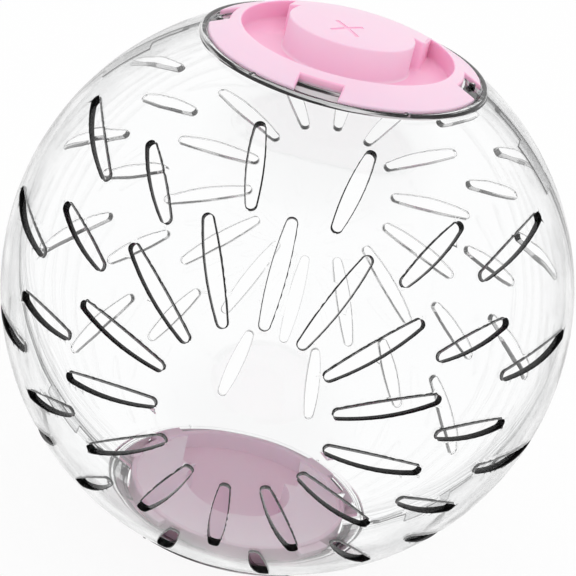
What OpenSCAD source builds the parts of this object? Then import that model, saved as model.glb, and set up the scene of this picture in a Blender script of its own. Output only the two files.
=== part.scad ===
// Exercise ball for a small pet: two clear half shells joined at an upright seam, and a lid in the doorway
// at each end of the seam's axis. The origin is the centre of the ball, +Z is the axis of the upper lid,
// and the pole of the front half lies on -Y.

/* [Ball] */
// Outside diameter of the ball
ball_d = 180; // [165:1:195]
// Wall of the clear half shells
shell_wall = 2.4; // [2:0.1:3]

/* [Air slots] */
// Width of an air slot at its middle
slot_w = 4.8; // [3.5:0.1:5.5]
// Radius of the ends of an air slot
slot_end_r = 1.5; // [1:0.1:2.2]
// Least width of plastic between a slot and the rim of a doorway
slot_land = 3; // [2:0.5:4]
// Slots in one full ring about the pole of a half
ring_slots = 14; // [12:1:15]
// Angle from the pole at which the slots of the inner ring start
ring1_start_angle = 16.4; // [15:0.1:18]
// Angle from the pole at which the slots of the inner ring end
ring1_end_angle = 37.1; // [34:0.1:38]
// Angle from the pole at which the slots of the middle ring start
ring2_start_angle = 37.5; // [37:0.1:39]
// Angle from the pole at which the slots of the middle ring end
ring2_end_angle = 54.7; // [52:0.1:56]
// Angle from the pole at which the slots of the outer ring start
ring3_start_angle = 52; // [50:0.1:54]
// Angle from the pole at which the slots of the outer ring end
ring3_end_angle = 75.9; // [72:0.1:78]

/* [Seam of the half shells] */
// How far the inner lap of the rear half reaches into the front half
lap_reach = 2.5; // [1.5:0.1:4]
// Gap round the lap and the tabs
lap_gap = 0.15; // [0.1:0.05:0.3]
// How far a locating tab reaches into the front half
tab_reach = 8; // [6:0.5:10]
// Width of a locating tab
tab_w = 17; // [12:0.5:20]
// Angle of the tabs from the axis of the lids
tab_at = 45.5; // [43:0.5:50]

/* [Doorways] */
// Radius of a doorway
door_r = 37; // [35:0.5:38]
// Side clearance between the edge of a flange and the foot of its rim
edge_gap = 0.6; // [0.4:0.1:1]
// Width of the flat top of the raised rim
rim_w = 1.5; // [1:0.1:2.5]
// Height of the raised rim above the ball
rim_h = 1; // [0.5:0.1:1.5]
// Width of the slope from the top of the rim down to the ball
rim_slope_w = 0.35; // [0.2:0.05:0.8]
// Depth of the seat of a flange below the surface of the ball
seat_depth = 1.4; // [1:0.1:1.6]
// Clearance round a lug in its entry gap
entry_gap = 0.6; // [0.4:0.1:1]
// Radius of a stop stud on the seam
stud_r = 1; // [0.7:0.1:1.4]
// Height of a stop stud above its seat
stud_h = 1.6; // [1:0.1:1.8]
// How far a stop stud stands outside the skirt of the lid
stud_out = 2.9; // [2:0.1:3.5]
// Width of a centring rib across the rim
rib_w = 1; // [0.8:0.1:2]
// Height of a centring rib above the rim
rib_h = 0.2; // [0.1:0.05:0.4]
// Angle of the centring ribs from the pole of a half
rib_at = 32; // [26:1:36]
// Gap between a centring rib and the edge of the flange
rib_gap = 0.3; // [0.2:0.05:0.35]

/* [Lids] */
// Clearance of a skirt in its doorway
skirt_gap = 0.7; // [0.5:0.1:1]
// How far a flange reaches out past the skirt
flange_w = 5.7; // [5:0.1:6.5]
// How far the outer edge of a flange stands above the ball
flange_rise = 0.4; // [0:0.1:0.8]
// Gap between a flange and its seat
seat_gap = 0.3; // [0.2:0.05:0.5]
// Wall of the floor, the grip and the lower skirt
lid_wall = 1.8; // [1.4:0.1:2.2]
// Wall between the finger well and the outside of the skirt
well_wall = 3.6; // [3:0.1:4.5]
// Depth of the floor of the finger well below the crown of the ball
well_depth = 12; // [10:0.5:13]
// Width of a window in a flange
window_w = 13; // [8:0.5:16]
// Width of a bayonet lug
lug_w = 11; // [8:0.5:12]
// How far a bayonet lug reaches out past the skirt
lug_reach = 3.3; // [2.5:0.1:4]
// Thickness of a bayonet lug
lug_t = 2; // [1.5:0.1:2.5]
// Gap between a lug and the underside of the doorway's edge
lug_gap = 0.4; // [0.3:0.1:0.8]
// How far a skirt reaches past its lugs
skirt_lip = 0.6; // [0.3:0.1:1.2]
// Angle by which a lid is turned from the marks of the ball
lid_turn = 5; // [0:1:6]

/* [Grip] */
// Radius of the round front of the grip
grip_r = 19.4; // [17:0.1:21]
// How far the centre of the round front lies behind the axis of the lid
grip_back = 2; // [0:0.1:4]
// Width of the bar behind the round front
bar_w = 43.4; // [42:0.1:46]
// How far the front of the bar lies behind the axis of the lid
bar_front = 8.9; // [7:0.1:11]
// Radius of the front corners of the bar
bar_corner_r = 1.6; // [1:0.1:2.5]

/* [Hidden] */
$fn = 144;

// Overrun of every cut past the surface that it opens
over = 1.5;
lids_per_turn = 4;

ball_r = ball_d / 2;
inner_r = ball_r - shell_wall;
middle_r = ball_r - shell_wall / 2;
room = ball_d;

// Lid and seat, from the doorway outwards
skirt_r = door_r - skirt_gap;
lid_r = skirt_r + flange_w;
well_r = skirt_r - well_wall;
skirt_inner_r = skirt_r - lid_wall;
seat_foot_r = lid_r + edge_gap;
rim_top_r = seat_foot_r + rim_w;
rim_r = rim_top_r + rim_slope_w;
rib_start_r = lid_r + rib_gap;
rib_end_r = (rim_top_r + rim_r) / 2;
lug_tip_r = skirt_r + lug_reach;
stud_at_r = skirt_r + stud_out;

// Spheres on which the seat and the flange's underside lie
seat_surface_r = ball_r - seat_depth;
flange_under_r = seat_surface_r + seat_gap;

// Height at which a sphere about the centre of the ball has a given radius in plan
function height_on(sphere_r, plan_r) = sqrt(sphere_r * sphere_r - plan_r * plan_r);

// Dome of a lid, a little flatter than the ball
crown_h = ball_r - height_on(ball_r, lid_r) - flange_rise;
lid_dome_r = (lid_r * lid_r + crown_h * crown_h) / 2 / crown_h;
dome_centre_z = ball_r - lid_dome_r;

lug_top_z = height_on(inner_r, lug_tip_r) - lug_gap;
lug_low_z = lug_top_z - lug_t;
skirt_low_z = lug_low_z - skirt_lip;
floor_top_z = ball_r - well_depth;
floor_low_z = floor_top_z - lid_wall;
seat_foot_z = height_on(seat_surface_r, seat_foot_r);
rim_top_z = height_on(ball_r, rim_top_r) + rim_h;
lap_end_z = height_on(inner_r, rim_r) - slot_land / 2;

// Half angle of an entry gap: half a lug, the turn of the lid and the clearance
entry_half = asin((lug_w / 2 + entry_gap) / door_r) + lid_turn;
lug_at = 180 / lids_per_turn;

// Slots: first and last angle from the pole, and the turn of the ring in shares of one slot's step
rings = [
    [ring1_start_angle, ring1_end_angle, 0],
    [ring2_start_angle, ring2_end_angle, 0.5],
    [ring3_start_angle, ring3_end_angle, 0]
];
// How far the sides of a slot stand inside its round ends
side_step = 0.02;
slot_step = 360 / ring_slots;
slot_end_turn = asin(slot_end_r / ball_r);
slot_bulge = slot_w / 2 - slot_end_r + side_step;
slot_cut_r = ball_r + over + shell_wall;
slot_root_r = inner_r - shell_wall;
clear_z = height_on(ball_r, rim_r + slot_land + slot_w / 2);
// Whether the outer end of a slot stays clear of both doorways
function is_clear(to, turn) = ball_r * sin(to) * abs(cos(turn)) < clear_z;

// One radial slot about the pole on +Z, lying in the YZ plane: bowed sides between two round ends
module slot_cut(from, to) {
    first = from + slot_end_turn;
    last = to - slot_end_turn;
    middle = (first + last) / 2;
    half_l = slot_root_r * sin((last - first) / 2);
    side_r = (half_l * half_l + slot_bulge * slot_bulge) / 2 / slot_bulge;
    intersection() {
        rotate([90, 0, 90])
            linear_extrude(height = 2 * slot_w, center = true)
                polygon([
                    slot_root_r * [sin(first), cos(first)],
                    slot_cut_r * [sin(first), cos(first)],
                    slot_cut_r * [sin(last), cos(last)],
                    slot_root_r * [sin(last), cos(last)]
                ]);
        rotate([-middle, 0, 0])
            translate([side_r - slot_w / 2, 0, slot_root_r / 2])
                cylinder(r = side_r, h = slot_cut_r);
        rotate([-middle, 0, 0])
            translate([slot_w / 2 - side_r, 0, slot_root_r / 2])
                cylinder(r = side_r, h = slot_cut_r);
    }
    for (end = [first, last])
        rotate([-end, 0, 0])
            translate([0, 0, slot_root_r])
                cylinder(r = slot_end_r, h = slot_cut_r - slot_root_r, $fn = 32);
}

// All slots of one half, about the pole on +Z
module slot_cuts() {
    for (ring = rings)
        for (k = [0 : ring_slots - 1]) {
            turn = (k + ring[2]) * slot_step;
            if (is_clear(ring[1], turn))
                rotate([0, 0, -turn])
                    slot_cut(ring[0], ring[1]);
        }
}

// Raised rim round one doorway
module rim() {
    rim_h_out = rim_top_z - height_on(ball_r, rim_r);
    rotate_extrude()
        polygon([
            [seat_foot_r - over, rim_top_z - 2 * rim_h_out],
            [rim_r + rim_slope_w, rim_top_z - 2 * rim_h_out],
            [rim_top_r, rim_top_z],
            [seat_foot_r - over, rim_top_z]
        ]);
}

// Recess for one flange, down to the seat
module seat_cut() {
    difference() {
        translate([0, 0, inner_r / 2])
            cylinder(r = seat_foot_r, h = ball_r);
        sphere(r = seat_surface_r);
    }
}

// Doorway with the four gaps that let the lugs in
module door_cut() {
    cut_h = ball_r + over - floor_top_z / 2;
    translate([0, 0, floor_top_z / 2])
        cylinder(r = door_r, h = cut_h);
    for (k = [0 : lids_per_turn - 1])
        rotate([0, 0, lug_at + k * 2 * lug_at])
            translate([0, 0, floor_top_z / 2])
                intersection() {
                    cylinder(r = lug_tip_r + entry_gap, h = cut_h);
                    linear_extrude(height = cut_h)
                        polygon([
                            [0, 0],
                            rim_r * [cos(entry_half), -sin(entry_half)],
                            rim_r * [cos(entry_half), sin(entry_half)]
                        ]);
                }
}

// Stop studs on the seam and centring ribs across the rim of one seat
module seat_details() {
    stud_seat_z = height_on(seat_surface_r, stud_at_r);
    rib_low_z = seat_foot_z - seat_depth / 2;
    for (side = [-1, 1])
        translate([side * stud_at_r, 0, stud_seat_z - seat_depth / 2])
            cylinder(r = stud_r, h = seat_depth / 2 + stud_h, $fn = 32);
    for (pole = [-90, 90], side = [-1, 1])
        rotate([0, 0, pole + side * rib_at])
            translate([rib_start_r, -rib_w / 2, rib_low_z])
                cube([rib_end_r - rib_start_r, rib_w, rim_top_z + rib_h - rib_low_z]);
}

// Whole clear ball with both doorways, before it is parted into halves and slotted
module whole_shell() {
    difference() {
        union() {
            sphere(r = ball_r);
            for (side = [0, 1])
                mirror([0, 0, side])
                    rim();
        }
        sphere(r = inner_r);
        for (side = [0, 1])
            mirror([0, 0, side]) {
                seat_cut();
                door_cut();
            }
    }
    for (side = [0, 1])
        mirror([0, 0, side])
            seat_details();
}

// Radius out to which the inner lap and the tabs of the rear half reach
lap_r = middle_r - lap_gap / 2;

// Inner lap and locating tabs of the seam, grown by a gap for the half that takes them
module lap_boxes(gap) {
    translate([-room, -lap_reach - gap, -lap_end_z - gap])
        cube([2 * room, lap_reach + gap + over, 2 * (lap_end_z + gap)]);
    for (at = [tab_at, 180 - tab_at, 180 + tab_at, -tab_at])
        rotate([0, at, 0])
            translate([-tab_w / 2 - gap, -tab_reach - gap, ball_r / 2])
                cube([tab_w + 2 * gap, tab_reach + gap + over, ball_r / 2 + over]);
}

// Half of space on the side of +Y
module rear_side() {
    translate([-room, 0, -room])
        cube([2 * room, room, 2 * room]);
}

// Plan of the grip: a disc in front of a bar that runs back into the flange
module grip_plan() {
    corner_x = bar_w / 2 - bar_corner_r;
    translate([0, grip_back])
        circle(r = grip_r);
    translate([-corner_x, bar_front])
        square([2 * corner_x, lid_r]);
    translate([-bar_w / 2, bar_front + bar_corner_r])
        square([bar_w, lid_r]);
    for (side = [-1, 1])
        translate([side * corner_x, bar_front + bar_corner_r])
            circle(r = bar_corner_r, $fn = 32);
}

// Plan of the hollow under the grip, which leaves the lid's wall on every side
module grip_hollow_plan() {
    translate([0, grip_back])
        circle(r = grip_r - lid_wall);
    translate([lid_wall - bar_w / 2, bar_front + lid_wall])
        square([bar_w - 2 * lid_wall, lid_r]);
}

// Solid that the lid is cut from: a domed plug, less the room of the seat and the four windows
module lid_blank() {
    difference() {
        intersection() {
            translate([0, 0, dome_centre_z])
                sphere(r = lid_dome_r);
            translate([0, 0, skirt_low_z])
                cylinder(r = lid_r, h = ball_r);
        }
        intersection() {
            translate([0, 0, skirt_low_z - over])
                difference() {
                    cylinder(r = lid_r + over, h = ball_r);
                    translate([0, 0, -over])
                        cylinder(r = skirt_r, h = ball_r + 2 * over);
                }
            union() {
                sphere(r = flange_under_r);
                for (k = [0 : lids_per_turn - 1])
                    rotate([0, 0, k * 2 * lug_at])
                        translate([0, -window_w / 2, skirt_low_z - over])
                            cube([lid_r + over, window_w, ball_r]);
            }
        }
    }
}

// Lid in the upper doorway, with its lugs in line with the entry gaps
module lid() {
    rotate([0, 0, -lid_turn]) {
        difference() {
            lid_blank();
            difference() {
                translate([0, 0, floor_top_z])
                    cylinder(r = well_r, h = well_depth + over);
                linear_extrude(height = ball_r + 2 * over)
                    grip_plan();
            }
            translate([0, 0, skirt_low_z - over])
                cylinder(r = skirt_inner_r, h = floor_low_z - skirt_low_z + over);
            intersection() {
                sphere(r = ball_r - lid_wall);
                translate([0, 0, skirt_low_z])
                    cylinder(r = skirt_inner_r, h = ball_r);
                translate([0, 0, skirt_low_z - over])
                    linear_extrude(height = ball_r)
                        grip_hollow_plan();
            }
        }
        for (k = [0 : lids_per_turn - 1])
            rotate([0, 0, lug_at + k * 2 * lug_at])
                intersection() {
                    translate([skirt_r - lid_wall / 2, -lug_w / 2, lug_low_z])
                        cube([lug_reach + lid_wall, lug_w, lug_t]);
                    cylinder(r = lug_tip_r, h = ball_r);
                }
    }
}

module front_half_shell() {
    color([0.93, 0.95, 0.96, 0.45])
        difference() {
            whole_shell();
            rear_side();
            intersection() {
                sphere(r = lap_r + lap_gap);
                lap_boxes(lap_gap);
            }
            rotate([90, 0, 0])
                slot_cuts();
        }
}

module rear_half_shell() {
    color([0.86, 0.89, 0.91, 0.45])
        difference() {
            union() {
                difference() {
                    whole_shell();
                    mirror([0, 1, 0])
                        rear_side();
                }
                intersection() {
                    whole_shell();
                    sphere(r = lap_r);
                    lap_boxes(0);
                }
            }
            mirror([0, 1, 0])
                rotate([90, 0, 0])
                    slot_cuts();
        }
}

module upper_lid() {
    color([0.98, 0.80, 0.90])
        lid();
}

module lower_lid() {
    color([0.98, 0.80, 0.90])
        rotate([0, 180, 0])
            lid();
}

front_half_shell();
rear_half_shell();
upper_lid();
lower_lid();
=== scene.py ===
from math import acos, asin, atan2, ceil, cos, pi, radians, sin, sqrt

import bmesh
import bpy
from mathutils import Matrix, Vector


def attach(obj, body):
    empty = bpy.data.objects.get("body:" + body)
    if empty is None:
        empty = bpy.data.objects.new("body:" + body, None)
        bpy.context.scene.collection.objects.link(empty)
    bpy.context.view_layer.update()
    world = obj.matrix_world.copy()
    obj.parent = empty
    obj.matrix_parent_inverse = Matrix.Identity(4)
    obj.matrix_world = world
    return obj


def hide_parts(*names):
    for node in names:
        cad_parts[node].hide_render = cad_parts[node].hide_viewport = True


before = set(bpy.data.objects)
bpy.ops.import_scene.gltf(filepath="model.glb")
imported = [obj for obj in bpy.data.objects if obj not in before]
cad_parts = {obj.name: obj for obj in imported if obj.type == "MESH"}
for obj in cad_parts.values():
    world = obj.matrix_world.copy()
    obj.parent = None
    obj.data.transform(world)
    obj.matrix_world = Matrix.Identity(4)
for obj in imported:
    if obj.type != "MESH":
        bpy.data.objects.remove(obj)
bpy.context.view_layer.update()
MM = 0.001

# Wall of the clear ball, before it is parted
# One turned wall of clear plastic with a stepped doorway at each end of the upright axis: a raised rim, a
# seat for the lid's flange sunk into the wall inside it, and the edge of the doorway.
ball_r = 90 * MM
shell_wall = 2.4 * MM
inner_r = ball_r - shell_wall
seat_depth = 1.4 * MM
seat_surface_r = ball_r - seat_depth
flange_under_r = seat_surface_r + 0.3 * MM
door_r = 37 * MM
skirt_r = door_r - 0.7 * MM
lid_r = skirt_r + 5.7 * MM
seat_foot_r = lid_r + 0.6 * MM
rim_top_r = seat_foot_r + 1.5 * MM
rim_r = rim_top_r + 0.35 * MM
rim_rise = 1 * MM
facet = radians(2)
clear_round = 0.3 * MM


def height_on(sphere_r, plan_r):
    """Height at which a sphere about the centre of the ball has a given radius in plan."""
    return sqrt(sphere_r * sphere_r - plan_r * plan_r)


def dome(sphere_r, first, last):
    """Section points (radius, height) along the upper half of a sphere, between two radii in plan."""
    start = acos(min(1, first / sphere_r))
    end = acos(min(1, last / sphere_r))
    steps = max(1, ceil(abs(end - start) / facet))
    angles = [start + (end - start) * i / steps for i in range(steps + 1)]
    return [(sphere_r * cos(a), sphere_r * sin(a)) for a in angles]


def turned(section, closed=True, sweep=2 * pi, start=facet / 2):
    """Spins a section about the upright axis. A part turn is closed by flat ends."""
    bm = bmesh.new()
    points = [bm.verts.new((r * cos(start), r * sin(start), z)) for r, z in section]
    pairs = list(zip(points, points[1:]))
    if closed:
        pairs.append((points[-1], points[0]))
    lines = [bm.edges.new(pair) for pair in pairs]
    whole = sweep >= 2 * pi
    bmesh.ops.spin(bm, geom=points + lines, cent=(0, 0, 0), axis=(0, 0, 1), angle=sweep,
                   steps=max(2, round(sweep / facet)), use_merge=whole, use_duplicate=False)
    bmesh.ops.remove_doubles(bm, verts=bm.verts, dist=0.001 * MM)
    if not whole:
        bmesh.ops.holes_fill(bm, edges=[e for e in bm.edges if e.is_boundary], sides=0)
    bmesh.ops.recalc_face_normals(bm, faces=bm.faces)
    return bm


def block(low, high):
    """A box between two corners."""
    bm = bmesh.new()
    bmesh.ops.create_cube(bm, size=1)
    size = Vector(high) - Vector(low)
    middle = (Vector(high) + Vector(low)) / 2
    fit = Matrix.Translation(middle) @ Matrix.Diagonal((*size, 1))
    bmesh.ops.transform(bm, matrix=fit, verts=bm.verts)
    return bm


def lofted(bm, levels):
    """Raises a face through a row of outlines into a closed solid."""
    place = bm.verts.layers.int.get("place") or bm.verts.layers.int.new("place")
    corners = []
    for i, point in enumerate(levels[0]):
        corner = bm.verts.new(point)
        corner[place] = i
        corners.append(corner)
    face = bm.faces.new(corners)
    below = None
    for outline in levels[1:]:
        grown = bmesh.ops.extrude_face_region(bm, geom=[face])
        if below:
            bmesh.ops.delete(bm, geom=[face], context="FACES_ONLY")
        below = face
        face = next(part for part in grown["geom"] if isinstance(part, bmesh.types.BMFace))
        for corner in face.verts:
            corner.co = outline[corner[place]]
    return bm


def rounded(bm, radius, segments=3, sharp_from=radians(15)):
    """Rounds every edge that is sharper than the facets of a dome."""
    sharp = [e for e in bm.edges if len(e.link_faces) == 2 and e.calc_face_angle() > sharp_from]
    bmesh.ops.bevel(bm, geom=sharp, offset=radius, offset_type="OFFSET", segments=segments,
                    profile=0.5, affect="EDGES", clamp_overlap=True, material=-1)
    return bm


def made(name, bm, turn=None, finish=0):
    """Makes an object of a bmesh. The finish is the place of its material among the piece's three."""
    if turn is not None:
        bmesh.ops.transform(bm, matrix=turn, verts=bm.verts)
    bmesh.ops.recalc_face_normals(bm, faces=bm.faces)
    for face in bm.faces:
        face.material_index = finish
        face.smooth = True
    mesh = bpy.data.meshes.new(name)
    bm.to_mesh(mesh)
    bm.free()
    for _ in range(3):
        mesh.materials.append(None)
    piece = bpy.data.objects.new(name, mesh)
    bpy.context.scene.collection.objects.link(piece)
    return piece


def combined(piece, how, other):
    """Cuts, joins or crosses one solid with another and keeps the result in the first."""
    step = piece.modifiers.new("step", "BOOLEAN")
    step.operation = how
    step.solver = "MANIFOLD"
    step.object = other
    graph = bpy.context.evaluated_depsgraph_get()
    mesh = bpy.data.meshes.new_from_object(piece.evaluated_get(graph))
    piece.modifiers.clear()
    used = piece.data, other.data
    piece.data = mesh
    bpy.data.objects.remove(other)
    for old in used:
        bpy.data.meshes.remove(old)
    return piece


def ends(piece_name, build):
    """Builds a thing for the upper end and its twin for the lower end."""
    for side in (1, -1):
        yield made(piece_name, build(), Matrix.Diagonal((1, 1, side, 1)))


rim_top_z = height_on(ball_r, rim_top_r) + rim_rise
upper_wall = (
    dome(ball_r, ball_r, rim_r)
    + [(rim_top_r, rim_top_z), (seat_foot_r, rim_top_z)]
    + dome(seat_surface_r, seat_foot_r, door_r)
    + dome(inner_r, door_r, inner_r)
)
lower_wall = [(r, -z) for r, z in reversed(upper_wall[1:-1])]
wall = made("wall", rounded(turned(upper_wall + lower_wall), clear_round))
slope_low_z = height_on(ball_r, rim_r) - clear_round
slope_end_r = rim_r + 0.4 * MM
edge_near = 0.1 * MM
seat_near = 0.05 * MM
# Faces of the rim's slope, the doorway's edge and the seat take the third material; on the front half its
# dark bands are painted shade.
for face in wall.data.polygons:
    plan_r = face.center.xy.length
    on_slope = rim_top_r - clear_round < plan_r < slope_end_r and abs(face.center.z) > slope_low_z
    on_edge = abs(plan_r - door_r) < edge_near
    on_seat = plan_r < seat_foot_r and abs(face.center.length - seat_surface_r) < seat_near
    if on_slope or on_edge or on_seat:
        face.material_index = 2

# Entry gaps, studs and ribs of the doorways
# Moulded in one with the wall: four gaps in the edge of each doorway let the lid's lugs in, a stud on the
# seam stops the lid's turn on either side, and narrow ribs across the rim centre the flange.
lug_tip_r = skirt_r + 3.3 * MM
lug_w = 11 * MM
lug_play = 0.6 * MM
lug_angles = (45, 135, 225, 315)
lid_turn = radians(5)
entry_r = lug_tip_r + lug_play
entry_half = asin((lug_w / 2 + lug_play) / door_r) + lid_turn
entry_round = 0.6 * MM
stud_r = 1 * MM
stud_h = 1.6 * MM
stud_round = 0.25 * MM
stud_twist = radians(3)
stud_at_r = skirt_r + 2.9 * MM
stud_seat_z = height_on(seat_surface_r, stud_at_r)
rib_w = 1 * MM
rib_rise = 0.2 * MM
rib_round = 0.15 * MM
rib_from_r = lid_r + 0.3 * MM
rib_to_r = (rim_top_r + rim_r) / 2
rib_angles = (-122, -58, 58, 122)


def entry_gaps():
    """The room of four lugs, as sectors through the edge of a doorway."""
    gaps = bmesh.new()
    from_r, low_z = door_r - 4 * MM, 60 * MM
    section = [(from_r, low_z), (entry_r, low_z), (entry_r, ball_r), (from_r, ball_r)]
    for angle in lug_angles:
        gap = turned(section, sweep=2 * entry_half, start=radians(angle) - entry_half)
        upright = [e for e in gap.edges if abs((e.verts[0].co - e.verts[1].co).normalized().z) > 0.99
                   and e.calc_face_angle() > radians(30)]
        bmesh.ops.bevel(gap, geom=upright, offset=entry_round, segments=3, profile=0.5, affect="EDGES",
                        clamp_overlap=True, material=-1)
        mesh = bpy.data.meshes.new("gap")
        gap.to_mesh(mesh)
        gap.free()
        gaps.from_mesh(mesh)
        bpy.data.meshes.remove(mesh)
    return gaps


def stud(side):
    """A round stop with a rounded top, rooted in the seat."""
    bm = bmesh.new()
    low_z = stud_seat_z - seat_depth / 2
    bmesh.ops.create_cone(bm, cap_ends=True, segments=32, radius1=stud_r, radius2=stud_r,
                          depth=stud_seat_z + stud_h - low_z)
    turn = Matrix.Rotation(stud_twist, 4, "Z")
    turn.translation = (side * stud_at_r, 0, (stud_seat_z + stud_h + low_z) / 2)
    bmesh.ops.transform(bm, matrix=turn, verts=bm.verts)
    return rounded(bm, stud_round)


def rib(angle):
    """A narrow rib across the top of the rim."""
    low_z = height_on(seat_surface_r, seat_foot_r) - seat_depth / 2
    bm = block((rib_from_r, -rib_w / 2, low_z), (rib_to_r, rib_w / 2, rim_top_z + rib_rise))
    rounded(bm, rib_round, 2)
    bmesh.ops.transform(bm, matrix=Matrix.Rotation(radians(angle), 4, "Z"), verts=bm.verts)
    return bm


for gap in ends("gap", entry_gaps):
    combined(wall, "DIFFERENCE", gap)
for side in (-1, 1):
    for stop in ends("stud", lambda: stud(side)):
        combined(wall, "UNION", stop)
for angle in rib_angles:
    for guide in ends("rib", lambda: rib(angle)):
        combined(wall, "UNION", guide)

# Air slots
# Three rings of long slots about the pole of each half, moulded through the wall, with bowed sides, round
# ends and softly rounded edges. Slots that would run into a doorway are left out. A ring is the angle from
# the pole at which its slots start and end, and the share of a step by which it is turned.
slot_w = 4.8 * MM
slot_end_r = 1.5 * MM
slot_round = 0.25 * MM
slot_land = 3 * MM
slot_facet = 1.6 * MM
slot_end_facets = 16
ring_slots = 14
slot_step = 2 * pi / ring_slots
rings = [(16.4, 37.1, 0), (37.5, 54.7, 0.5), (52, 75.9, 0)]
clear_z = height_on(ball_r, rim_r + slot_land + slot_w / 2)
slot_end_turn = asin(slot_end_r / ball_r)


def flare(edge_round):
    """Steps (growth, depth) from a straight wall over a rounded edge and out past the surface."""
    last = radians(75)
    angles = [last * i / 3 for i in range(4)]
    steps = [(edge_round * (1 - cos(a)), edge_round * (1 - sin(a))) for a in angles]
    last_grow, last_deep = steps[-1]
    onward = edge_round / 2
    steps.append((last_grow + onward * sin(last), last_deep - onward * cos(last)))
    past_surface = 3 * MM
    steps.append((steps[-1][0], -past_surface))
    return steps


def slot_plan(half_l, grow):
    """Plan of a slot: two bowed sides that run smoothly into two round ends, grown by a margin."""
    bow = slot_w - 2 * slot_end_r
    side_r = (half_l * half_l + slot_w * slot_w / 4 - slot_end_r * slot_end_r) / bow
    lean = asin(half_l / (side_r - slot_end_r))
    runs = max(4, ceil(half_l / slot_facet))
    end_r = slot_end_r + grow
    points = []
    for way in (1, -1):
        for i in range(runs + 1):
            angle = lean * (2 * i / runs - 1)
            points.append((way * (side_r + grow) * sin(angle),
                           way * ((side_r + grow) * cos(angle) - side_r + slot_w / 2)))
        for i in range(1, slot_end_facets):
            angle = lean + (pi - 2 * lean) * i / slot_end_facets
            points.append((way * (half_l + end_r * sin(angle)), way * end_r * cos(angle)))
    return points


def slot(bm, start, end, turn):
    """Adds one slot about the pole on +Z, as the solid to be cut away."""
    middle = (start + end) / 2
    half_l = ball_r * sin((end - start) / 2 - slot_end_turn)
    swing = Matrix.Rotation(-turn, 3, "Z")

    def level(grow, at_r):
        points = []
        for along, across in slot_plan(half_l, grow):
            straight = max(-half_l, min(half_l, along))
            beyond = along - straight
            lean = middle + asin(straight / ball_r)
            out = Vector((0, sin(lean), cos(lean)))
            on = Vector((0, cos(lean), -sin(lean)))
            height = sqrt(at_r * at_r - across * across - beyond * beyond)
            points.append(swing @ (out * height + on * beyond + Vector((across, 0, 0))))
        return points

    inner = [level(grow, inner_r + deep) for grow, deep in flare(slot_round)]
    outer = [level(grow, ball_r - deep) for grow, deep in flare(slot_round)]
    lofted(bm, inner[::-1] + outer)


def slots_of_half(pole):
    """All slots of one half. The pole is -1 for the front and 1 for the rear."""
    bm = bmesh.new()
    for start, end, share in rings:
        for k in range(ring_slots):
            turn = (k + share) * slot_step
            if ball_r * sin(radians(end)) * abs(cos(turn)) < clear_z:
                slot(bm, radians(start), radians(end), turn)
    to_front = Matrix.Rotation(radians(90), 4, "X")
    # The slots' walls take the second material, whose colour is painted shade.
    return made("slots", bm, Matrix.Diagonal((1, -pole, 1, 1)) @ to_front, finish=1)


for pole in (-1, 1):
    combined(wall, "DIFFERENCE", slots_of_half(pole))

# Half shells and their seam
# The ball is two mouldings pressed together. The rear half carries an inner lap and four tabs that reach
# into the front half, and a fine groove marks the joint outside.
lap_reach = 2.5 * MM
lap_gap = 0.15 * MM
tab_reach = 8 * MM
tab_w = 17 * MM
tab_low_z = 45 * MM
tab_angles = (45.5, 134.5, 225.5, 314.5)
joint = 0.03 * MM
groove_deep = 0.22 * MM
groove_half = 0.5 * MM
lap_r = ball_r - shell_wall / 2 - lap_gap / 2
lap_end_z = height_on(inner_r, rim_r) - slot_land / 2


def sphere(radius):
    """A turned sphere whose facets match the wall's."""
    upper = dome(radius, radius, 0)
    return made("sphere", turned([(r, -z) for r, z in reversed(upper[1:])] + upper, closed=False))


def rear_side(gap, face_y):
    """The space that the rear half takes: all behind the joint, its lap and its four tabs."""
    over = 1.5 * MM
    outer = ball_r + over
    end_z = lap_end_z + gap
    lap = block((-outer, -lap_reach - gap, -end_z), (outer, over, end_z))
    room = made("lap", lap, finish=1)
    tab_half = tab_w / 2 + gap
    for angle in tab_angles:
        tab = block((-tab_half, -tab_reach - gap, tab_low_z), (tab_half, over, outer))
        combined(room, "UNION", made("tab", tab, Matrix.Rotation(radians(angle), 4, "Y"), finish=1))
    combined(room, "INTERSECT", sphere(lap_r + gap))
    far = 100 * MM
    behind = block((-far, face_y, -far), (far, far, far))
    return combined(room, "UNION", made("rear", behind, finish=1))


def joined_normals(piece, domes, limit=radians(35)):
    """Shades the domes by their true normals and every joint flatter than the limit as smooth."""
    along_dome = 0.77
    inside, outside = 0.02 * MM, 0.004 * MM
    mesh = piece.data
    bm = bmesh.new()
    bm.from_mesh(mesh)
    for face in bm.faces:
        face.smooth = True
    for edge in bm.edges:
        edge.smooth = len(edge.link_faces) == 2 and edge.calc_face_angle() < limit
    bm.to_mesh(mesh)
    bm.free()
    normals = [Vector((0, 0, 0))] * len(mesh.loops)
    for face in mesh.polygons:
        for corner in face.loop_indices:
            at = mesh.vertices[mesh.loops[corner].vertex_index].co
            lean = at.dot(face.normal) / at.length
            on_dome = any(-inside < at.length - radius < outside for radius in domes)
            if abs(lean) > along_dome and on_dome:
                normals[corner] = at.normalized() * (1 if lean > 0 else -1)
    mesh.normals_split_custom_set(normals)


open_r = ball_r + 0.3 * MM
groove_section = [(ball_r - groove_deep, 0), (open_r, -groove_half), (open_r, groove_half)]
combined(wall, "DIFFERENCE", made("groove", turned(groove_section), Matrix.Rotation(radians(90), 4, "X")))
front_half = bpy.data.objects.new("front_half", wall.data.copy())
rear_half = bpy.data.objects.new("rear_half", wall.data.copy())
for half in (front_half, rear_half):
    bpy.context.scene.collection.objects.link(half)
combined(front_half, "DIFFERENCE", rear_side(lap_gap, -joint))
combined(rear_half, "INTERSECT", rear_side(0, joint))
bpy.data.objects.remove(wall)
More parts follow.
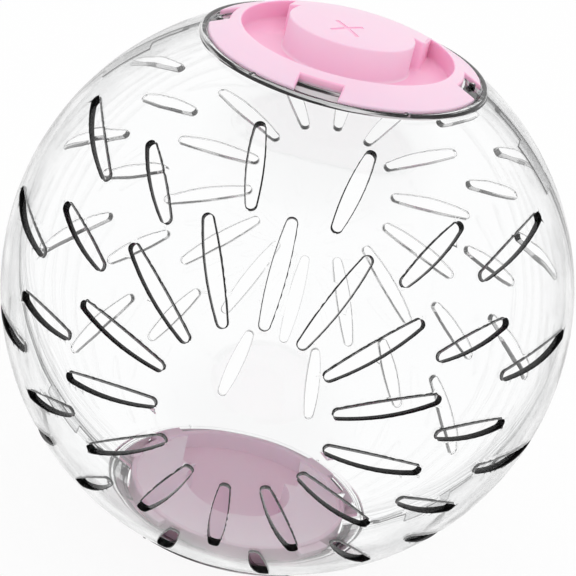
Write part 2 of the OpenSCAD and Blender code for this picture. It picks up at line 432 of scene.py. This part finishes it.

# The rear rims take the finish of the wall, and the faces of the rear half's seam take the third finish, of
# grey painted shade.
seam_end_y = 15 * MM
for face in rear_half.data.polygons:
    if face.material_index == 2:
        face.material_index = 0
    elif face.material_index == 1 and face.center.y < seam_end_y:
        face.material_index = 2
for half in (front_half, rear_half):
    joined_normals(half, (ball_r, inner_r, seat_surface_r))
    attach(half, "shell")
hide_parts("front_half_shell")
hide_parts("rear_half_shell")

# Clear plastic of the half shells
# Glossy moulded polystyrene, water clear, with the faint waviness of a moulded wall. Painted shade greys it
# in streaks where the wall is seen nearly edge on, and in fine lines along the seam.
def clear_plastic(name, roughness):
    """Clear plastic with a slow ripple from moulding."""
    material = bpy.data.materials.new(name)
    material.use_nodes = True
    nodes, links = material.node_tree.nodes, material.node_tree.links
    shader = nodes["Principled BSDF"]
    shader.inputs["Transmission Weight"].default_value = 1
    shader.inputs["Roughness"].default_value = roughness
    shader.inputs["IOR"].default_value = 1.49
    place = nodes.new("ShaderNodeTexCoord")
    ripple = nodes.new("ShaderNodeTexNoise")
    ripple.inputs["Scale"].default_value = 55
    ripple.inputs["Detail"].default_value = 1
    bump = nodes.new("ShaderNodeBump")
    bump.inputs["Strength"].default_value = 0.15
    bump.inputs["Distance"].default_value = 0.4 * MM
    links.new(place.outputs["Object"], ripple.inputs["Vector"])
    links.new(ripple.outputs["Fac"], bump.inputs["Height"])
    links.new(bump.outputs["Normal"], shader.inputs["Normal"])
    return material


def ramp(nodes, *stops):
    """A colour ramp through greys, from pairs of place and grey."""
    tone = nodes.new("ShaderNodeValToRGB")
    for _ in stops[2:]:
        tone.color_ramp.elements.new(0.5)
    for step, (at, grey) in zip(tone.color_ramp.elements, stops):
        step.position = at
        step.color = (grey, grey, grey, 1)
    return tone


def wavy(material, scale, detail, squeeze=(1, 1, 1)):
    """Adds a noise on the piece's own coordinates, drawn out along some axes."""
    nodes, links = material.node_tree.nodes, material.node_tree.links
    place = nodes.new("ShaderNodeTexCoord")
    fit = nodes.new("ShaderNodeMapping")
    fit.inputs["Scale"].default_value = squeeze
    noise = nodes.new("ShaderNodeTexNoise")
    noise.inputs["Scale"].default_value = scale
    noise.inputs["Detail"].default_value = detail
    links.new(place.outputs["Object"], fit.inputs["Vector"])
    links.new(fit.outputs["Vector"], noise.inputs["Vector"])
    return noise


def calculated(tree, operation, *values):
    """Adds a maths node fed by numbers and by other nodes' outputs, and gives its result."""
    node = tree.nodes.new("ShaderNodeMath")
    node.operation = operation
    for socket, value in zip(node.inputs, values):
        if isinstance(value, float):
            socket.default_value = value
        else:
            tree.links.new(value, socket)
    return node.outputs[0]


clear_wall = clear_plastic("clear_wall", 0.004)
tree = clear_wall.node_tree
nodes, links = tree.nodes, tree.links
# Painted shade: the colour greys where the wall is seen nearly edge on (depth), broken into streaks by a
# noise.
edge_on = nodes.new("ShaderNodeLayerWeight")
edge_on.inputs["Blend"].default_value = 0.5
depth = ramp(nodes, (0.55, 0), (0.7, 0.3), (0.85, 0.75), (0.96, 1))
streak = ramp(nodes, (0.38, 0.15), (0.62, 1))
links.new(edge_on.outputs["Facing"], depth.inputs["Fac"])
links.new(wavy(clear_wall, 90, 4).outputs["Fac"], streak.inputs["Fac"])
painted_limb_shade = calculated(tree, "MULTIPLY", depth.outputs["Color"], streak.outputs["Color"])
# Painted shade: fine grey lines beside the seam, stronger where the wall is seen edge on.
place = nodes.new("ShaderNodeTexCoord")
axes = nodes.new("ShaderNodeSeparateXYZ")
beside = nodes.new("ShaderNodeMapRange")
beside.inputs["From Min"].default_value = 14 * MM
beside.inputs["From Max"].default_value = 2 * MM
lines = ramp(nodes, (0.42, 0), (0.54, 1))
leaning = ramp(nodes, (0.2, 0.05), (0.6, 1))
links.new(place.outputs["Object"], axes.inputs[0])
links.new(calculated(tree, "ABSOLUTE", axes.outputs["Y"]), beside.inputs["Value"])
links.new(wavy(clear_wall, 1, 4, (12, 1100, 12)).outputs["Fac"], lines.inputs["Fac"])
links.new(edge_on.outputs["Facing"], leaning.inputs["Fac"])
line_shade = calculated(tree, "MULTIPLY", lines.outputs["Color"], beside.outputs["Result"])
painted_seam_shade = calculated(tree, "MULTIPLY", line_shade, leaning.outputs["Color"])
# Mixes the clear colour towards dark grey by the painted shade.
painted_grey_mix = nodes.new("ShaderNodeMix")
painted_grey_mix.data_type = "RGBA"
painted_grey_mix.inputs["A"].default_value = (0.99, 0.992, 0.993, 1)
painted_grey_mix.inputs["B"].default_value = (0.3, 0.305, 0.31, 1)
links.new(calculated(tree, "MAXIMUM", painted_limb_shade, painted_seam_shade), painted_grey_mix.inputs["Factor"])
links.new(painted_grey_mix.outputs["Result"], nodes["Principled BSDF"].inputs["Base Color"])

# Cut walls of the slots and the seam
# The walls of the slots and the seam come from the side faces of the mould and are a little less polished.
# Their colour is painted shade: black on the front half's slot and seam walls, pale round the rear slots,
# grey on the rear seam.
def painted_cut_wall(name, grey, clear):
    """Slightly rough clear plastic whose colour is painted shade of the given grey and clearness."""
    material = clear_plastic(name, 0.08)
    shader = material.node_tree.nodes["Principled BSDF"]
    shader.inputs["Base Color"].default_value = (grey, grey, grey, 1)
    shader.inputs["Transmission Weight"].default_value = clear
    shader.inputs["Specular IOR Level"].default_value = 0.08
    return material


# Painted shade: near black on the front half's slot and seam walls, pale grey on the rear slots, grey on
# the rear seam.
front_cut = painted_cut_wall("clear_front_cut_painted_black", 0.006, 0.1)
rear_cut = painted_cut_wall("clear_rear_cut_painted_grey", 0.6, 0.94)
seam_cut = painted_cut_wall("clear_seam_painted_grey", 0.2, 0.8)

# Rims of the front half
# The steep outer slope of the rim, the seat and the edge of each doorway show dark bands of painted shade,
# broken by pale streaks that run round the upright axis.
def streaked(name, grey, clear):
    """Clear plastic with painted shade in dark lines that run round the upright axis."""
    material = clear_plastic(name, 0.05)
    rim_shade_streaks = ramp(material.node_tree.nodes, (0.48, grey), (0.56, 0.95))
    links = material.node_tree.links
    shader = material.node_tree.nodes["Principled BSDF"]
    shader.inputs["Transmission Weight"].default_value = clear
    shader.inputs["Specular IOR Level"].default_value = 0.3
    links.new(wavy(material, 1, 3, (35, 35, 1400)).outputs["Fac"], rim_shade_streaks.inputs["Fac"])
    links.new(rim_shade_streaks.outputs["Color"], shader.inputs["Base Color"])
    return material


front_rim = streaked("clear_front_rim_painted_shade", 0.01, 0.5)
for half, cut, third in ((front_half, front_cut, front_rim), (rear_half, rear_cut, seam_cut)):
    for i, finish in enumerate((clear_wall, cut, third)):
        half.data.materials[i] = finish

# Lids
# Each lid is one pink moulding: a flange slightly proud of the ball, a skirt in the doorway with four lugs
# that lock under its edge, and a horseshoe finger well around a grip that is hollow underneath.
flange_rise = 0.4 * MM
crown_h = ball_r - height_on(ball_r, lid_r) - flange_rise
lid_dome_r = (lid_r * lid_r + crown_h * crown_h) / (2 * crown_h)
dome_z = ball_r - lid_dome_r
lid_wall = 1.8 * MM
skirt_inner_r = skirt_r - lid_wall
well_r = skirt_r - 3.6 * MM
floor_top_z = ball_r - 12 * MM
floor_low_z = floor_top_z - lid_wall
lug_top_z = height_on(inner_r, lug_tip_r) - 0.4 * MM
lug_low_z = lug_top_z - 2 * MM
skirt_low_z = lug_low_z - 0.6 * MM
lug_round = 0.3 * MM
window_w = 13 * MM
grip_r = 19.4 * MM
grip_back = 2 * MM
bar_half = 21.7 * MM
bar_front = 8.9 * MM
bar_corner_r = 1.6 * MM
lid_round = 0.45 * MM


def arc(centre, radius, start, end, steps):
    """Plan points along an arc."""
    angles = [start + (end - start) * i / steps for i in range(steps + 1)]
    return [(centre[0] + radius * cos(a), centre[1] + radius * sin(a)) for a in angles]


def well_outline(grow):
    """Plan of the finger well: round outside, and along the bar and the disc of the grip inside."""
    outer = well_r + grow
    side = bar_half - grow
    corner_r = bar_corner_r - grow
    corner = (bar_half - bar_corner_r, bar_front + bar_corner_r)
    disc_r = grip_r - grow
    shelf_y = bar_front + grow
    reach = acos(side / outer)
    meet = asin((shelf_y - grip_back) / disc_r)
    points = arc((0, 0), outer, pi - reach, 2 * pi + reach, 64)
    points += arc(corner, corner_r, 0, -pi / 2, 5)
    points += arc((0, grip_back), disc_r, meet, -pi - meet, 56)
    points += arc((-corner[0], corner[1]), corner_r, -pi / 2, -pi, 5)
    return points


def raised(outline, deep):
    """Lifts a plan to a depth below the dome of the lid."""
    at_r = lid_dome_r - deep
    return [(x, y, dome_z + sqrt(at_r * at_r - x * x - y * y)) for x, y in outline]


def flat(outline, z):
    """Lifts a plan to one height."""
    return [(x, y, z) for x, y in outline]


def well_cut():
    """The finger well as the solid to be cut away, with a rounded foot and rounded upper edges."""
    foot = 1 * MM
    turns = [radians(a) for a in (90, 65, 40, 20, 0)]
    levels = [flat(well_outline(-foot * (1 - cos(a))), floor_top_z + foot * (1 - sin(a))) for a in turns]
    edge = flare(lid_round)
    levels += [raised(well_outline(grow), deep) for grow, deep in edge]
    past = 2 * MM
    levels.append(flat(well_outline(edge[-1][0]), ball_r + past))
    # The well's walls and floor take the second material, a deeper pink of painted shade.
    return made("well", lofted(bmesh.new(), levels), finish=1)


def window_outline(grow):
    """Plan of a window: along the skirt inside, open outside, with rounded outer corners."""
    half = window_w / 2 + grow
    off_skirt = 0.02 * MM
    inner = skirt_r - grow + off_skirt
    lean = asin(half / inner)
    corner = 0.6 * MM
    far_x = lid_r + 2 * MM
    turns = [radians(a) for a in (0, 25, 50, 70)]
    bend = [(lid_r - corner + corner * sin(a), half + corner * (1 - cos(a))) for a in turns]
    points = arc((0, 0), inner, lean, -lean, 10)
    points += [(x, -y) for x, y in bend]
    points += [(far_x, -half - corner), (far_x, half + corner)]
    points += bend[::-1]
    return points


def window_cut(angle):
    """One window of the flange as the solid to be cut away."""
    below = 2 * MM
    levels = [flat(window_outline(0), height_on(flange_under_r, lid_r) - below)]
    levels += [raised(window_outline(grow), deep) for grow, deep in flare(lid_round)]
    # The window's walls take the second material, a deeper pink of painted shade.
    return made("window", lofted(bmesh.new(), levels), Matrix.Rotation(radians(angle), 4, "Z"), finish=1)


def grip_hollow():
    """The hollow under the grip, which leaves the lid's wall all round."""
    hollow_r = grip_r - lid_wall
    side_x = bar_half - lid_wall
    shelf_y = bar_front + lid_wall
    back_y = sqrt(skirt_inner_r ** 2 - side_x ** 2)
    meet = asin((shelf_y - grip_back) / hollow_r)
    lean = atan2(back_y, side_x)
    plan = arc((0, grip_back), hollow_r, meet, -pi - meet, 48)
    plan += [(-side_x, shelf_y), (-side_x, back_y)]
    plan += arc((0, 0), skirt_inner_r, pi - lean, lean, 24)[1:-1]
    plan += [(side_x, back_y), (side_x, shelf_y)]
    below = 1 * MM
    hollow_round = 0.5 * MM
    bm = lofted(bmesh.new(), [flat(plan, skirt_low_z - below), flat(plan, ball_r)])
    # The hollow's walls take the third material, a paler pink of painted light.
    return made("hollow", rounded(bm, hollow_round, 3, radians(40)), finish=2)


def cross_mark():
    """A plain cross pressed lightly into the disc of the grip, as the solid to be cut away."""
    arm, half_w, deep, above = 5.8 * MM, 0.65 * MM, 0.25 * MM, 1 * MM
    mark_x, mark_y = -0.5 * MM, -6 * MM
    plan = []
    for quarter in range(4):
        turn = Matrix.Rotation(radians(45 + 90 * quarter), 2)
        plan += [turn @ Vector(at) for at in ((half_w, half_w), (half_w, arm), (-half_w, arm))]
    plan = [(x + mark_x, y + mark_y) for x, y in plan]
    # The mark's walls take the second material, a deeper pink of painted shade.
    return made("mark", lofted(bmesh.new(), [raised(plan, deep), raised(plan, -above)]), finish=1)


def lug(angle):
    """One lug that locks under the edge of the doorway."""
    root_r = skirt_r - 1 * MM
    section = [(root_r, lug_low_z), (lug_tip_r, lug_low_z), (lug_tip_r, lug_top_z), (root_r, lug_top_z)]
    half = asin(lug_w / 2 / skirt_r)
    sector = turned(section, sweep=2 * half, start=radians(angle) - half)
    return made("lug", rounded(sector, lug_round))


def lid(name, body, node, turn):
    """One lid, turned from the upper doorway to its own."""
    section = [(r, z + dome_z) for r, z in dome(lid_dome_r, 0, lid_r)]
    section += dome(flange_under_r, lid_r, skirt_r)
    section += [(skirt_r, skirt_low_z), (skirt_inner_r, skirt_low_z)]
    section += [(skirt_inner_r, floor_low_z), (0, floor_low_z)]
    piece = made(name, rounded(turned(section, closed=False), lid_round))
    near = 0.1 * MM
    # The underside of the lid's floor takes the third material, a paler pink of painted light.
    for face in piece.data.polygons:
        if face.center.z < floor_low_z + near and face.center.xy.length < skirt_inner_r + near:
            face.material_index = 2
    hollow = grip_hollow()
    combined(hollow, "INTERSECT", sphere(ball_r - lid_wall))
    combined(piece, "DIFFERENCE", hollow)
    combined(piece, "DIFFERENCE", well_cut())
    # The side of the grip's disc goes back to the first material, without the painted shade.
    disc_near = 0.5 * MM
    for face in piece.data.polygons:
        off_disc = abs((face.center.xy - Vector((0, grip_back))).length - grip_r)
        if face.material_index == 1 and off_disc < disc_near and face.center.y < bar_front:
            face.material_index = 0
    combined(piece, "DIFFERENCE", cross_mark())
    for angle in (0, 90, 180, 270):
        combined(piece, "DIFFERENCE", window_cut(angle))
    for angle in lug_angles:
        combined(piece, "UNION", lug(angle))
    piece.data.transform(turn @ Matrix.Rotation(-lid_turn, 4, "Z"))
    joined_normals(piece, (flange_under_r,))
    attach(piece, body)
    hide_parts(node)
    return piece


upper = lid("upper_door", "upper_lid", "upper_lid", Matrix.Identity(4))
lower = lid("lower_door", "lower_lid", "lower_lid", Matrix.Rotation(pi, 4, "Y"))

# Pink plastic of the lids
# Pale pink moulded plastic with a satin surface that lets a little light in. The finger well, the windows
# and the cross mark are painted a deeper pink as shade, and the lid's underside and the hollow under the
# grip a paler pink as light; the side of the grip's disc stays pale.
def pink_plastic(name, pale, warm):
    """Satin plastic with slow drifts of tone and a fine moulded grain."""
    material = bpy.data.materials.new(name)
    material.use_nodes = True
    nodes, links = material.node_tree.nodes, material.node_tree.links
    shader = nodes["Principled BSDF"]
    shader.inputs["Roughness"].default_value = 0.36
    shader.inputs["IOR"].default_value = 1.5
    shader.inputs["Subsurface Weight"].default_value = 0.3
    shader.inputs["Subsurface Radius"].default_value = (1.0, 0.45, 0.6)
    shader.inputs["Subsurface Scale"].default_value = 2 * MM
    place = nodes.new("ShaderNodeTexCoord")
    cloud = nodes.new("ShaderNodeTexNoise")
    cloud.inputs["Scale"].default_value = 30
    cloud.inputs["Detail"].default_value = 3
    tone = nodes.new("ShaderNodeValToRGB")
    tone.color_ramp.elements[0].position = 0.3
    tone.color_ramp.elements[0].color = (*warm, 1)
    tone.color_ramp.elements[1].position = 0.7
    tone.color_ramp.elements[1].color = (*pale, 1)
    grain = nodes.new("ShaderNodeTexNoise")
    grain.inputs["Scale"].default_value = 900
    grain.inputs["Detail"].default_value = 2
    bump = nodes.new("ShaderNodeBump")
    bump.inputs["Strength"].default_value = 0.12
    bump.inputs["Distance"].default_value = 0.1 * MM
    links.new(place.outputs["Object"], cloud.inputs["Vector"])
    links.new(cloud.outputs["Fac"], tone.inputs["Fac"])
    links.new(tone.outputs["Color"], shader.inputs["Base Color"])
    links.new(place.outputs["Object"], grain.inputs["Vector"])
    links.new(grain.outputs["Fac"], bump.inputs["Height"])
    links.new(bump.outputs["Normal"], shader.inputs["Normal"])
    return material


pink_face = pink_plastic("pink_face", (0.90, 0.65, 0.78), (0.89, 0.62, 0.76))
# Deeper pink of painted shade for the finger well, the windows and the cross mark.
pink_painted_shade = pink_plastic("pink_painted_shade", (0.945, 0.53, 0.71), (0.935, 0.5, 0.685))
# Paler pink of painted light for the lid's underside and the hollow under the grip, where little light
# reaches.
pink_painted_light = pink_plastic("pink_painted_light", (0.96, 0.76, 0.87), (0.95, 0.73, 0.85))
for piece in (upper, lower):
    for i, finish in enumerate((pink_face, pink_painted_shade, pink_painted_light)):
        piece.data.materials[i] = finish

# Studio
# A plain white floor that keeps the ball's shadow and shows white in gloss and clear plastic, and one large
# soft lamp above.
floor_r = 6
floor_gap = 0.3 * MM
floor_mesh = bmesh.new()
bmesh.ops.create_circle(floor_mesh, cap_ends=True, segments=64, radius=floor_r)
floor = made("floor", floor_mesh, Matrix.Translation((0, 0, -ball_r - floor_gap)))
white = bpy.data.materials.new("white_floor")
white.use_nodes = True
tree = white.node_tree
nodes, links = tree.nodes, tree.links
shader = nodes["Principled BSDF"]
shader.inputs["Base Color"].default_value = (0.9, 0.9, 0.9, 1)
shader.inputs["Roughness"].default_value = 0.8
glow = nodes.new("ShaderNodeEmission")
glow.inputs["Color"].default_value = (1, 1, 1, 1)
path = nodes.new("ShaderNodeLightPath")
seen = calculated(tree, "MULTIPLY", path.outputs["Is Camera Ray"], 0.92)
mirrored = calculated(tree, "MAXIMUM", seen, path.outputs["Is Glossy Ray"])
mix = nodes.new("ShaderNodeMixShader")
links.new(calculated(tree, "MAXIMUM", mirrored, path.outputs["Is Transmission Ray"]), mix.inputs["Fac"])
links.new(shader.outputs[0], mix.inputs[1])
links.new(glow.outputs[0], mix.inputs[2])
links.new(mix.outputs[0], nodes["Material Output"].inputs["Surface"])
floor.data.materials[0] = white

# Room round the ball
# White walls that run up into a grey ceiling. Only gloss and clear plastic show the ceiling, as grey lines
# along their edges; the pink plastic is lit evenly from all round.
world = bpy.data.worlds.new("studio")
bpy.context.scene.world = world
world.use_nodes = True
tree = world.node_tree
nodes, links = tree.nodes, tree.links
sky = nodes["Background"]
sky.inputs["Color"].default_value = (1, 1, 1, 1)
sky.inputs["Strength"].default_value = 1
ceiling = nodes.new("ShaderNodeBackground")
ceiling.inputs["Strength"].default_value = 1
place = nodes.new("ShaderNodeTexCoord")
height = nodes.new("ShaderNodeSeparateXYZ")
shade = ramp(nodes, (0.75, 1), (0.95, 0.35))
path = nodes.new("ShaderNodeLightPath")
in_gloss, in_clear = path.outputs["Is Glossy Ray"], path.outputs["Is Transmission Ray"]
clear_or_gloss = calculated(tree, "MAXIMUM", in_gloss, in_clear)
no_matt = calculated(tree, "LESS_THAN", path.outputs["Diffuse Depth"], 0.5)
mix = nodes.new("ShaderNodeMixShader")
links.new(place.outputs["Generated"], height.inputs[0])
links.new(height.outputs["Z"], shade.inputs["Fac"])
links.new(shade.outputs["Color"], ceiling.inputs["Color"])
links.new(calculated(tree, "MULTIPLY", clear_or_gloss, no_matt), mix.inputs["Fac"])
links.new(sky.outputs[0], mix.inputs[1])
links.new(ceiling.outputs[0], mix.inputs[2])
links.new(mix.outputs[0], nodes["World Output"].inputs["Surface"])

# Lamp overhead
# A square soft lamp that faces the ball and leaves no bright square in the gloss or in the clear plastic.
light = bpy.data.lights.new("overhead", "AREA")
light.shape = "SQUARE"
light.size = 1
light.energy = 1.5
lamp = bpy.data.objects.new("overhead", light)
lamp_at = Vector((0.1, -0.3, 1.2))
lamp.matrix_world = Matrix.Translation(lamp_at) @ lamp_at.to_track_quat("Z", "Y").to_matrix().to_4x4()
lamp.visible_glossy = False
lamp.visible_transmission = False
bpy.context.scene.collection.objects.link(lamp)

# Camera
# A long lens at the photograph's viewing angle, a little above the ball and rolled about its own axis.
right = Vector((0.9654, 0.1424, 0.2182))
up = Vector((-0.2576, 0.3953, 0.8817))
back = Vector((0.0393, -0.9074, 0.4183))
distance = 0.684
view = bpy.data.cameras.new("camera")
view.lens = 135.25
view.sensor_width = 36
view.shift_x = 0.00104
view.shift_y = 0.00035
view.clip_start = 0.01
camera = bpy.data.objects.new("camera", view)
camera.matrix_world = Matrix.Translation(back * distance) @ Matrix((right, up, back)).transposed().to_4x4()
bpy.context.scene.collection.objects.link(camera)
bpy.context.scene.camera = camera
bpy.context.scene.view_settings.view_transform = "Standard"
